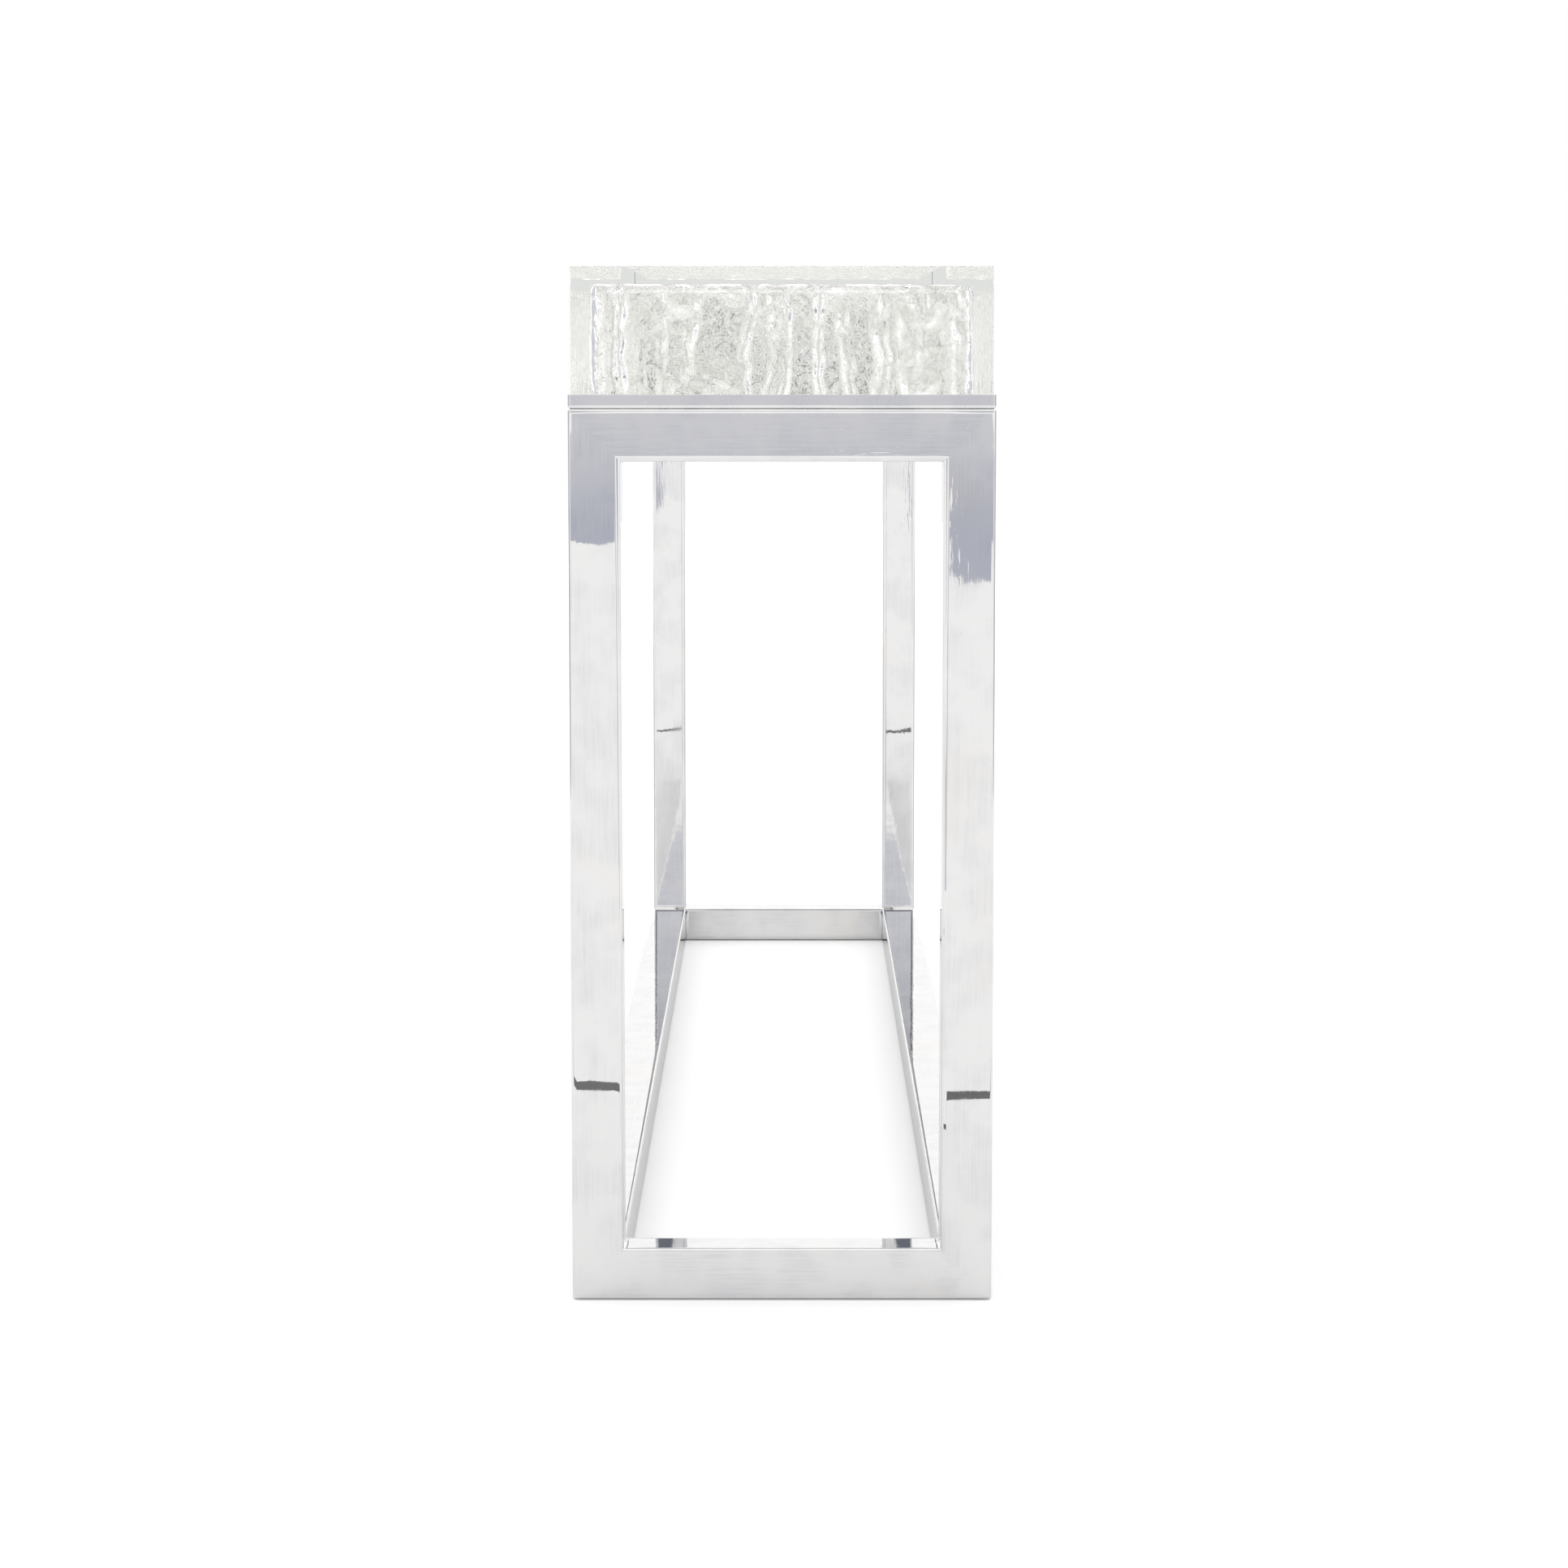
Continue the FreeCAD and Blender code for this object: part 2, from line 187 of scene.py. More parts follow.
studioFloor = {
    "radius": 12.6,
    "rimSteps": 720,
    "halfDepth": 3.4,
    "shortAngle": 4.5,  # the floor ends nearer on one side of the camera
    "shortSpread": 2.5,
    "shortSteepness": 2.5,
    "shortBy": 2.2,
    "runner": ((10.0, 0.50), (12.6, 0.60), (22.0, 0.92)),  # how far out and half how wide: more floor
    "runnerHeight": -0.001,
    "grainScale": 3.0,
    "paintTone": (0.88, 0.92),
    "paintLift": 0.22,
    "tapeTone": (0.12, 0.24),
    "tapeDistance": 0.811,  # from the near end of the table
    "tapeSkew": 0.12,
    "tapeWidth": 0.04,
    "tapeHalfLength": 0.9,
    "tapeHeight": 0.0004,
}


def buildWorld():
    world = bpy.data.worlds.new("whiteStudio")
    scene.world = world
    world.use_nodes = True
    tree = world.node_tree
    tree.nodes.clear()
    out = addNode(tree, "ShaderNodeOutputWorld")
    direction = addNode(tree, "ShaderNodeTexCoord").outputs["Generated"]
    split = addNode(tree, "ShaderNodeSeparateXYZ", links={0: direction})
    east, north, up = split.outputs

    def ramp(value, stops):
        return addNode(tree, "ShaderNodeMapRange", {"interpolation_type": "SMOOTHSTEP"},
                       {"Value": value, "From Min": stops[0], "From Max": stops[1]}).outputs[0]

    def blend(factor, first, second):
        return addNode(tree, "ShaderNodeMix", {"data_type": "RGBA"},
                       {0: factor, 6: first, 7: second}).outputs[2]

    def times(first, second):
        return addNode(tree, "ShaderNodeMath", {"operation": "MULTIPLY"}, {0: first, 1: second}).outputs[0]

    def brighter(base, share, level):
        return addNode(tree, "ShaderNodeMapRange", links={0: share, 3: base, 4: level}).outputs[0]

    # the open end behind the camera: haze near the horizon and dusk above it
    aside = addNode(tree, "ShaderNodeMath", {"operation": "ABSOLUTE"}, {0: north}).outputs[0]
    halfWidth = studio["openHalfWidth"]
    ahead = times(ramp(east, fades["nearHalf"]), ramp(aside, (halfWidth + studio["openFade"], halfWidth)))
    haze = blend(ramp(up, fades["hazeBlend"]), hexColour(studio["hazeLow"]), hexColour(studio["hazeHigh"]))
    dusk = blend(ramp(up, fades["duskBlend"]), hexColour(studio["duskLow"]), hexColour(studio["duskHigh"]))
    hazed = blend(times(ahead, ramp(up, fades["hazeTop"])), hexColour(studio["roomColour"]), haze)
    dusky = times(ramp(up, fades["duskBottom"]), ramp(up, fades["duskTop"]))
    room = blend(times(ahead, dusky), hazed, dusk)

    # the panel beyond the far end, and the shade along the long sides
    far = ramp(east, fades["farHalf"])
    panel = times(times(ramp(up, fades["panelTop"]), ramp(aside, fades["panelWidth"])), far)
    room = blend(panel, room, hexColour(studio["farPanel"]))
    beside = times(ramp(aside, fades["longSide"]),
                   times(ramp(up, fades["longSideBottom"]), ramp(up, fades["longSideTop"])))
    stripe = addNode(tree, "ShaderNodeMath", {"operation": "SINE"},
                     {0: times(east, 2 * math.pi / studio["stripeSpacing"])}).outputs[0]
    shade = blend(ramp(stripe, fades["stripeEdge"]), hexColour(studio["longSideShade"]),
                  hexColour(studio["stripe"]))
    room = blend(beside, room, shade)

    # the softboxes
    farUpper = times(times(ramp(up, fades["farUpperBottom"]), ramp(up, fades["farUpperTop"])),
                     ramp(aside, fades["farUpperWidth"]))
    farSide = times(times(ramp(aside, fades["farSideInner"]), ramp(aside, fades["farSideOuter"])),
                    ramp(up, fades["farSideTop"]))
    level = brighter(studio["roomLevel"], times(farUpper, far), studio["farUpperLevel"])
    level = brighter(level, times(farSide, far), studio["farSideLevel"])
    level = brighter(level, ramp(up, fades["overhead"]), studio["overheadLevel"])

    lit = addNode(tree, "ShaderNodeBackground", links={"Color": room, "Strength": level})
    plain = addNode(tree, "ShaderNodeBackground",
                    links={"Color": hexColour(studio["backdrop"]), "Strength": 1.0})
    seen = addNode(tree, "ShaderNodeLightPath").outputs["Is Camera Ray"]
    both = addNode(tree, "ShaderNodeMixShader", links={0: seen, 1: lit.outputs[0], 2: plain.outputs[0]})
    tree.links.new(both.outputs[0], out.inputs["Surface"])


# the camera sees it as white paint, and everything else sees its own tone
def floorPaint(name, ownTone):
    paint, tree = newMaterial(name)
    white = studioFloor["paintTone"]
    grain = addNode(tree, "ShaderNodeTexNoise", links={"Scale": studioFloor["grainScale"], "Detail": 4.0})
    painted = addNode(tree, "ShaderNodeMapRange", links={0: grain.outputs[0], 3: white[0], 4: white[1]})
    own = addNode(tree, "ShaderNodeMapRange", links={0: grain.outputs[0], 3: ownTone[0], 4: ownTone[1]})
    seen = addNode(tree, "ShaderNodeLightPath").outputs["Is Camera Ray"]
    tone = addNode(tree, "ShaderNodeMapRange", links={0: seen, 3: own.outputs[0], 4: painted.outputs[0]})
    shader = addNode(tree, "ShaderNodeBsdfDiffuse", links={"Color": tone.outputs[0]})
    lift = addNode(tree, "ShaderNodeEmission",
                   links={"Color": (1, 1, 1, 1), "Strength": studioFloor["paintLift"]})
    lifted = addNode(tree, "ShaderNodeMixShader", links={0: seen, 2: lift.outputs[0]})
    both = addNode(tree, "ShaderNodeAddShader", links={0: shader.outputs[0], 1: lifted.outputs[0]})
    finishMaterial(tree, both)
    return paint


def stageSheet(name, bm, material):
    sheet = bpy.data.objects.new(name, meshFrom(bm, name))
    scene.collection.objects.link(sheet)
    giveMaterial(sheet, material)
    return sheet


def buildFloor():
    bm = bmesh.new()
    rim = []
    for i in range(studioFloor["rimSteps"]):
        degrees = 360 * i / studioFloor["rimSteps"]
        a = math.radians(degrees)
        short = max(0.0, 1 - abs(degrees - studioFloor["shortAngle"]) / studioFloor["shortSpread"])
        short = min(1.0, studioFloor["shortSteepness"] * short)
        reach = studioFloor["radius"] - studioFloor["shortBy"] * short
        reach = min(reach, studioFloor["halfDepth"] / max(abs(math.sin(a)), 0.01))
        rim.append(bm.verts.new((reach * math.cos(a), reach * math.sin(a), 0)))
    bm.faces.new(rim)
    runner = studioFloor["runner"]
    outline = [(x, -half) for x, half in runner] + [(x, half) for x, half in runner[::-1]]
    bm.faces.new([bm.verts.new((x, y, studioFloor["runnerHeight"])) for x, y in outline])
    floor = stageSheet("studioFloor", bm, floorPaint("matt white studio paint", studioFloor["paintTone"]))

    # a strip of dark tape on the floor, which the polished legs pick up
    near = cadBox[1][0] + studioFloor["tapeDistance"]
    far = near + studioFloor["tapeWidth"]
    half = studioFloor["tapeHalfLength"]
    bm = bmesh.new()
    corners = [(near, -half), (far, -half), (far, half), (near, half)]
    bm.faces.new([bm.verts.new((x - y * studioFloor["tapeSkew"], y, studioFloor["tapeHeight"]))
                  for x, y in corners])
    tape = stageSheet("floorTape", bm, floorPaint("dark cloth tape", studioFloor["tapeTone"]))


buildWorld()
buildFloor()
scene.view_settings.view_transform = "Standard"
# light bounces many times inside the glass before it leaves
scene.cycles.max_bounces = 48
scene.cycles.transmission_bounces = 40
scene.cycles.glossy_bounces = 40
scene.cycles.diffuse_bounces = 3
print("studio built")


# Mirror-polished 304 stainless steel: clear reflections with a faint grain along the tube, the slight
# swim of a hand-buffed face, and a few pits, dust specks and warm finger stains.
steelFinish = {
    "colour": "#ECEBEA",
    "cloud": "#DFDFE1",
    "cloudSpacing": 28 * mm,
    "cloudSpread": (0.42, 0.62, 0.15, 1.0),  # noise from and to, and how much of the cloud they give
    "stain": "#E8E3DB",
    "stainScale": 7.0,  # per metre
    "stainSpread": (0.58, 0.78, 0.0, 0.6),
    "roughness": 0.010,
    "smearSpread": (0.40, 0.75),
    "smearGain": 3,
    "speckRoughness": 0.3,
    "speckSpacing": 16 * mm,
    "speckEdge": (0.045, 0.025, 0.0, 1.0),
    "swimSpacing": 55 * mm,
    "swimHeight": 0.085 * mm,
    "rippleSpacing": 9 * mm,
    "rippleHeight": 0.0012 * mm,
    "grainSpacing": 3.0 * mm,
    "grainStretch": 8,
    "grainHeight": 0.0075 * mm,
    "streakAcross": 0.8 / mm,  # streaks per metre
    "streakAlong": 25,
    "streakSpread": (0.35, 0.65, 0.3, 1.0),
}


def mirrorSteel(name, along):
    material, tree = newMaterial(name)
    place = addNode(tree, "ShaderNodeTexCoord").outputs["Object"]

    def noise(scale, detail, vector=place):
        return addNode(tree, "ShaderNodeTexNoise", links={"Vector": vector, "Scale": scale,
                                                          "Detail": detail}).outputs[0]

    def remap(value, low, high, first, last):
        return addNode(tree, "ShaderNodeMapRange",
                       links={0: value, 1: low, 2: high, 3: first, 4: last}).outputs[0]

    def bump(height, distance, normal=None):
        links = {"Height": height, "Strength": 1.0, "Distance": distance}
        if normal:
            links["Normal"] = normal
        return addNode(tree, "ShaderNodeBump", links=links).outputs[0]

    def stretched(scale):
        return addNode(tree, "ShaderNodeMapping", links={"Vector": place, "Scale": scale}).outputs[0]

    # the swim of the face, a fine ripple on it, and the grain on top
    grainScale = [1 / steelFinish["grainSpacing"]] * 3
    grainScale[along] /= steelFinish["grainStretch"]
    swim = bump(noise(1 / steelFinish["swimSpacing"], 1.0), steelFinish["swimHeight"])
    ripple = bump(noise(1 / steelFinish["rippleSpacing"], 1.0), steelFinish["rippleHeight"], swim)
    grain = bump(noise(1.0, 2.0, stretched(grainScale)), steelFinish["grainHeight"], ripple)

    # clouds, streaks and stains in the colour
    clouds = noise(1 / steelFinish["cloudSpacing"], 5.0)
    stains = noise(steelFinish["stainScale"], 4.0)
    streakScale = [steelFinish["streakAcross"]] * 3
    streakScale[along] = steelFinish["streakAlong"]
    streaks = noise(1.0, 2.0, stretched(streakScale))
    patchy = addNode(tree, "ShaderNodeMath", {"operation": "MULTIPLY"},
                     {0: remap(clouds, *steelFinish["cloudSpread"]),
                      1: remap(streaks, *steelFinish["streakSpread"])})
    clouded = addNode(tree, "ShaderNodeMix", {"data_type": "RGBA"},
                      {0: patchy.outputs[0], 6: hexColour(steelFinish["colour"]),
                       7: hexColour(steelFinish["cloud"])})
    colour = addNode(tree, "ShaderNodeMix", {"data_type": "RGBA"},
                     {0: remap(stains, *steelFinish["stainSpread"]), 6: clouded.outputs[2],
                      7: hexColour(steelFinish["stain"])})

    # smears and dust specks in the gloss
    specks = addNode(tree, "ShaderNodeTexVoronoi",
                     links={"Vector": place, "Scale": 1 / steelFinish["speckSpacing"]})
    speck = remap(specks.outputs["Distance"], *steelFinish["speckEdge"])
    smear = remap(clouds, *steelFinish["smearSpread"], steelFinish["roughness"],
                  steelFinish["roughness"] * steelFinish["smearGain"])
    rough = addNode(tree, "ShaderNodeMath", {"operation": "MULTIPLY_ADD"},
                    {0: speck, 1: steelFinish["speckRoughness"], 2: smear})
    shader = addNode(tree, "ShaderNodeBsdfPrincipled",
                     links={"Base Color": colour.outputs[2], "Metallic": 1.0,
                            "Roughness": rough.outputs[0], "Normal": grain})
    finishMaterial(tree, shader)
    return material


steelByAxis = [mirrorSteel(f"mirror-polished stainless steel, grain along {axis}", i)
               for i, axis in enumerate("XYZ")]


# Clear low-iron glass, cast in a mould and fire-polished outside. Its thickness gives the edges a faint
# olive tint.
glassFinish = {
    "roughness": 0.0,
    "ior": 1.5,
    "tint": "#DEDED4",
    "tintDensity": 0.42,
    "glintSize": 2.6 * mm,
    "glintDepth": 0.03 * mm,
    "poolSize": 11 * mm,  # shallow pools with a crisp edge, where the melt has set in steps
    "poolDepth": 0.13 * mm,
    "poolEdge": 0.02,
    "poolLevels": (0.43, 0.50, 0.57),
    "poolHeight": 0.6,  # below 1 the pools stand taller than they are wide
    "poolDistortion": 0.5,
}


def castGlass():
    material, tree = newMaterial("cast low-iron glass")
    place = addNode(tree, "ShaderNodeTexCoord").outputs["Object"]
    inside = addNode(tree, "ShaderNodeAttribute", {"attribute_name": "relief"}).outputs["Fac"]
    glint = addNode(tree, "ShaderNodeTexNoise",
                    links={"Vector": place, "Detail": 1.0, "Scale": 1 / glassFinish["glintSize"]})
    glints = addNode(tree, "ShaderNodeBump",
                     links={"Height": glint.outputs[0], "Distance": glassFinish["glintDepth"],
                            "Strength": inside})
    tall = addNode(tree, "ShaderNodeMapping",
                   links={"Vector": place, "Scale": (1, 1, glassFinish["poolHeight"])})
    melt = addNode(tree, "ShaderNodeTexNoise",
                   links={"Vector": tall.outputs[0], "Detail": 2.0, "Scale": 1 / glassFinish["poolSize"],
                          "Distortion": glassFinish["poolDistortion"]})
    pools = None
    for middle in glassFinish["poolLevels"]:
        step = addNode(tree, "ShaderNodeMapRange", {"interpolation_type": "SMOOTHSTEP"},
                       {0: melt.outputs[0], 1: middle - glassFinish["poolEdge"],
                        2: middle + glassFinish["poolEdge"]}).outputs[0]
        if pools is None:
            pools = step
        else:
            pools = addNode(tree, "ShaderNodeMath", {"operation": "ADD"}, {0: pools, 1: step}).outputs[0]
    relief = addNode(tree, "ShaderNodeBump",
                     links={"Height": pools, "Distance": glassFinish["poolDepth"], "Strength": inside,
                            "Normal": glints.outputs[0]})
    shader = addNode(tree, "ShaderNodeBsdfPrincipled",
                     links={"Base Color": (1, 1, 1, 1), "Roughness": glassFinish["roughness"],
                            "IOR": glassFinish["ior"], "Transmission Weight": 1.0,
                            "Normal": relief.outputs[0]})
    depth = addNode(tree, "ShaderNodeVolumeAbsorption",
                    links={"Color": hexColour(glassFinish["tint"]), "Density": glassFinish["tintDensity"]})
    out = addNode(tree, "ShaderNodeOutputMaterial")
    tree.links.new(shader.outputs[0], out.inputs["Surface"])
    tree.links.new(depth.outputs[0], out.inputs["Volume"])
    return material


castGlassMaterial = castGlass()


plainFinish = {
    "glossSpread": (0.8, 1.3),  # least and greatest share of the given roughness
    "bumpStrength": 0.3,
    "bumpHeight": 0.02 * mm,
}


# rolled or plated metal with a fine mottle in its gloss
def plainMetal(name, colour, rough, spacing):
    material, tree = newMaterial(name)
    place = addNode(tree, "ShaderNodeTexCoord").outputs["Object"]
    mottle = addNode(tree, "ShaderNodeTexNoise",
                     links={"Vector": place, "Scale": 1 / spacing, "Detail": 4.0})
    least, most = plainFinish["glossSpread"]
    tone = addNode(tree, "ShaderNodeMapRange",
                   links={0: mottle.outputs[0], 3: rough * least, 4: rough * most})
    bump = addNode(tree, "ShaderNodeBump",
                   links={"Height": mottle.outputs[0], "Strength": plainFinish["bumpStrength"],
                          "Distance": plainFinish["bumpHeight"]})
    shader = addNode(tree, "ShaderNodeBsdfPrincipled",
                     links={"Base Color": hexColour(colour), "Metallic": 1.0, "Roughness": tone.outputs[0],
                            "Normal": bump.outputs[0]})
    finishMaterial(tree, shader)
    return material


millSteel = plainMetal("mill-finish stainless steel", "#B9B8B5", 0.32, 3 * mm)
brightZinc = plainMetal("bright zinc plate", "#C3C6CA", 0.26, 1.5 * mm)


softFinish = {
    "mottleScale": 900.0,  # per metre
    "glossSpread": (0.7, 1.4),
    "ior": 1.41,
    "clearness": 0.85,
}


# a clear rubbery plastic with a slightly uneven skin
def softClear(name, colour, rough):
    material, tree = newMaterial(name)
    place = addNode(tree, "ShaderNodeTexCoord").outputs["Object"]
    mottle = addNode(tree, "ShaderNodeTexNoise",
                     links={"Vector": place, "Scale": softFinish["mottleScale"]})
    least, most = softFinish["glossSpread"]
    tone = addNode(tree, "ShaderNodeMapRange",
                   links={0: mottle.outputs[0], 3: rough * least, 4: rough * most})
    shader = addNode(tree, "ShaderNodeBsdfPrincipled",
                     links={"Base Color": hexColour(colour), "Roughness": tone.outputs[0],
                            "IOR": softFinish["ior"], "Transmission Weight": softFinish["clearness"]})
    finishMaterial(tree, shader)
    return material


clearSilicone = softClear("clear moulded silicone", "#EEF0F0", 0.16)
clearVinyl = softClear("clear soft vinyl", "#E6E8E6", 0.24)
print("materials made")


# The frame is one welded and polished surface. It is made whole, with rounded edges and a small ground
# fillet in each inner corner, and is then cut at its mitres so that each tube stays a piece of its own.
weldedFrame = {
    "edgeRadius": 2.0 * mm,
    "edgeSteps": 6,
    "rollOff": 2.2 * mm,  # how far the buffing wheel has softened each face beside its edges
    "stub": 6.0 * mm,  # how much of a long rail's end stays with the end frame
    "smoothAngle": 35,
}


def weldedFrameMesh(low, high, side):
    stops = [[low[i], low[i] + side, high[i] - side, high[i]] for i in range(3)]
    bm = bmesh.new()
    corners = {}

    def corner(i, j, k):
        if (i, j, k) not in corners:
            corners[i, j, k] = bm.verts.new((stops[0][i], stops[1][j], stops[2][k]))
        return corners[i, j, k]

    # a cell of the 3 x 3 x 3 grid is steel where at least two of its indices are at an end
    def isSteel(cell):
        return all(0 <= c <= 2 for c in cell) and sum(c != 1 for c in cell) >= 2

    for cell in [(i, j, k) for i in range(3) for j in range(3) for k in range(3)]:
        if not isSteel(cell):
            continue
        for axis in range(3):
            for step in (0, 1):
                beyond = list(cell)
                beyond[axis] += 2 * step - 1
                if isSteel(beyond):
                    continue
                ring = []
                for u, v in ((0, 0), (1, 0), (1, 1), (0, 1)):
                    at = list(cell)
                    at[axis] += step
                    at[(axis + 1) % 3] += u
                    at[(axis + 2) % 3] += v
                    ring.append(corner(*at))
                bm.faces.new(ring if step else ring[::-1])
    bm.normal_update()
    edges = [e for e in bm.edges if e.calc_face_angle() > math.radians(6)]
    bmesh.ops.bevel(bm, geom=edges, offset=weldedFrame["edgeRadius"], segments=weldedFrame["edgeSteps"],
                    profile=0.5, affect="EDGES", clamp_overlap=False)
    bm.normal_update()
    flats = [f for f in bm.faces if max(abs(c) for c in f.normal) > 0.99999]  # square to an axis
    bmesh.ops.inset_region(bm, faces=flats, thickness=weldedFrame["rollOff"], use_boundary=True,
                           use_even_offset=True)
    return bm


def buildFrame():
    tubes = sorted(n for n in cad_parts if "leg_" in n or "rail" in n)
    boxes = [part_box(n) for n in tubes]
    low = Vector([min(box[0][i] for box in boxes) for i in range(3)])
    high = Vector([max(box[1][i] for box in boxes) for i in range(3)])
    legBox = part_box("leg_front_left")
    side = legBox[1][0] - legBox[0][0]
    whole = weldedFrameMesh(low, high, side)
    middleZ = (low[2] + high[2]) / 2
    cutX = high[0] - side - weldedFrame["stub"]
    for node in tubes:
        sideX = 1 if "right" in node else -1
        sideY = 1 if "rear" in node else -1
        sideZ = 1 if "upper" in node else -1
        # each cut is a point on a plane and the plane's normal, which points to the side that goes
        if "long_rail" in node:
            grain = 0
            cuts = [((cutX, 0, 0), (1, 0, 0)), ((-cutX, 0, 0), (-1, 0, 0)),
                    ((0, 0, 0), (0, -sideY, 0)), ((0, 0, middleZ), (0, 0, -sideZ))]
        elif "leg_" in node:
            grain = 2
            cuts = [((sideX * cutX, 0, 0), (-sideX, 0, 0)), ((0, 0, 0), (0, -sideY, 0))]
            cuts += [((0, sideY * high[1], z), (0, -sideY, way)) for z, way in ((low[2], -1), (high[2], 1))]
        else:
            grain = 1
            edge = high[2] if sideZ > 0 else low[2]
            cuts = [((sideX * cutX, 0, 0), (-sideX, 0, 0)), ((0, 0, middleZ), (0, 0, -sideZ))]
            cuts += [((0, y, edge), (0, way, -sideZ)) for y, way in ((low[1], -1), (high[1], 1))]
        bm = whole.copy()
        for point, away in cuts:
            everything = bm.verts[:] + bm.edges[:] + bm.faces[:]
            cut = bmesh.ops.bisect_plane(bm, geom=everything, plane_co=point, plane_no=away,
                                         clear_outer=True)
            rim = [e for e in cut["geom_cut"] if isinstance(e, bmesh.types.BMEdge)]
            if rim:
                bmesh.ops.holes_fill(bm, edges=rim)
        mesh = meshFrom(bm, node)
        smoothByAngle(mesh, weldedFrame["smoothAngle"])
        mesh.materials.append(steelByAxis[grain])
        newPiece(f"polished_{node}", mesh, rootBody, [node])
    whole.free()


buildFrame()
print("frame welded and cut into its tubes")


pan = {
    "sheet": 1.2 * mm,
    "bend": 2.2 * mm,  # outside radius of the folded edge
    "cornerRadius": 2.4 * mm,
    "leastCorner": 0.4 * mm,
    "edgeBreak": 0.15 * mm,
    "bendSteps": 6,
    "cornerSteps": 6,
    "smoothAngle": 40,
    # how far from a bend or an edge the extra rings lie that keep the flats flat
    "floorRing": 1.2 * mm,
    "bendRing": 0.3 * mm,
    "wallRing": 0.5 * mm,
    "rimRing": 0.6 * mm,
}


def buildPan():
    low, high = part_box("deck_pan")
    sheet, bend, breakEdge = pan["sheet"], pan["bend"], pan["edgeBreak"]
    floorRing, bendRing = pan["floorRing"], pan["bendRing"]
    wallRing, rimRing = pan["wallRing"], pan["rimRing"]
    rise = high[2] - low[2]
    # the folded sheet's section, from under the floor round the rim: how far in and how high
    section = [(bend + floorRing, 0), (bend + bendRing, 0)]
    for i in range(pan["bendSteps"] + 1):
        a = math.radians(90 * i / pan["bendSteps"])
        section.append((bend * (1 - math.sin(a)), bend * (1 - math.cos(a))))
    section += [(0, bend + wallRing), (0, rise - rimRing), (0, rise - breakEdge), (breakEdge, rise),
                (sheet - breakEdge, rise), (sheet, rise - breakEdge), (sheet, rise - rimRing),
                (sheet, bend + bendRing)]
    for i in range(pan["bendSteps"] + 1):
        a = math.radians(90 * i / pan["bendSteps"])
        inside = bend - sheet
        section.append((sheet + inside * (1 - math.cos(a)), sheet + inside * (1 - math.sin(a))))
    section += [(bend + bendRing, sheet), (bend + floorRing, sheet)]

    bm = bmesh.new()
    rings = []
    for inset, z in section:
        radius = max(pan["cornerRadius"] - inset, pan["leastCorner"])
        ring = []
        for turn in range(4):
            cx = (high[0] - inset - radius) * (1 if turn in (0, 3) else -1)
            cy = (high[1] - inset - radius) * (1 if turn in (0, 1) else -1)
            for i in range(pan["cornerSteps"] + 1):
                a = math.radians(90 * (turn + i / pan["cornerSteps"]))
                x, y = cx + radius * math.cos(a), cy + radius * math.sin(a)
                ring.append(bm.verts.new((x, y, low[2] + z)))
        rings.append(ring)
    count = len(rings[0])
    for first, second in zip(rings, rings[1:]):
        for i in range(count):
            j = (i + 1) % count
            bm.faces.new((first[i], first[j], second[j], second[i]))
    bm.faces.new(rings[0][::-1])
    bm.faces.new(rings[-1])
    bm.normal_update()
    mesh = meshFrom(bm, "deck_pan")
    smoothByAngle(mesh, pan["smoothAngle"])
    mesh.materials.append(steelByAxis[0])
    newPiece("folded_pan", mesh, rootBody, ["deck_pan"])


buildPan()
print("pan folded")


# weld studs with their nuts and washers, under the pan
fixings = {
    "studWidth": 6 * mm,
    "nutWidth": 10 * mm,  # across the flats
    "washerWidth": 12 * mm,
    "countAlong": 3,
    "countAcross": 2,
    "threadPitch": 1.0 * mm,
    "threadDepth": 0.55 * mm,
    "turnSteps": 24,
    "roundSteps": 48,
    "ringsPerTurn": 6,
    "tipChamfer": 0.8 * mm,
    "nutChamfer": 0.45 * mm,
    "boreRadius": 3.05 * mm,
    "washerBore": 3.2 * mm,
    "edgeBreak": 0.2 * mm,
    "sunkBore": 0.3 * mm,
    "smoothAngle": 50,
    "nutSmoothAngle": 25,
}


# rings of (radius at an angle, height), joined into a skin: closed into a loop, or capped at both ends
def lathe(name, rings, radiusAt, steps, loop, sharpAngle):
    bm = bmesh.new()
    rows = []
    for key, z in rings:
        angles = [2 * math.pi * i / steps for i in range(steps)]
        rows.append([bm.verts.new((radiusAt(key, a, z) * math.cos(a), radiusAt(key, a, z) * math.sin(a), z))
                     for a in angles])
    pairs = list(zip(rows, rows[1:])) + ([(rows[-1], rows[0])] if loop else [])
    for first, second in pairs:
        for i in range(steps):
            j = (i + 1) % steps
            bm.faces.new((first[i], first[j], second[j], second[i]))
    if not loop:
        bm.faces.new(rows[0][::-1])
        bm.faces.new(rows[-1])
    bmesh.ops.recalc_face_normals(bm, faces=bm.faces)
    mesh = meshFrom(bm, name)
    smoothByAngle(mesh, sharpAngle)
    return mesh


def studMesh(radius, low, high):
    pitch, depth, chamfer = fixings["threadPitch"], fixings["threadDepth"], fixings["tipChamfer"]
    count = round((high - low) / pitch * fixings["ringsPerTurn"])
    rings = [(None, low + (high - low) * i / count) for i in range(count + 1)]

    def radiusAt(_, angle, z):
        turn = (z / pitch - angle / (2 * math.pi)) % 1.0
        thread = radius - depth * abs(2 * turn - 1)
        return min(thread, radius - chamfer + (z - low))

    return lathe("weldStud", rings, radiusAt, fixings["turnSteps"], False, fixings["smoothAngle"])


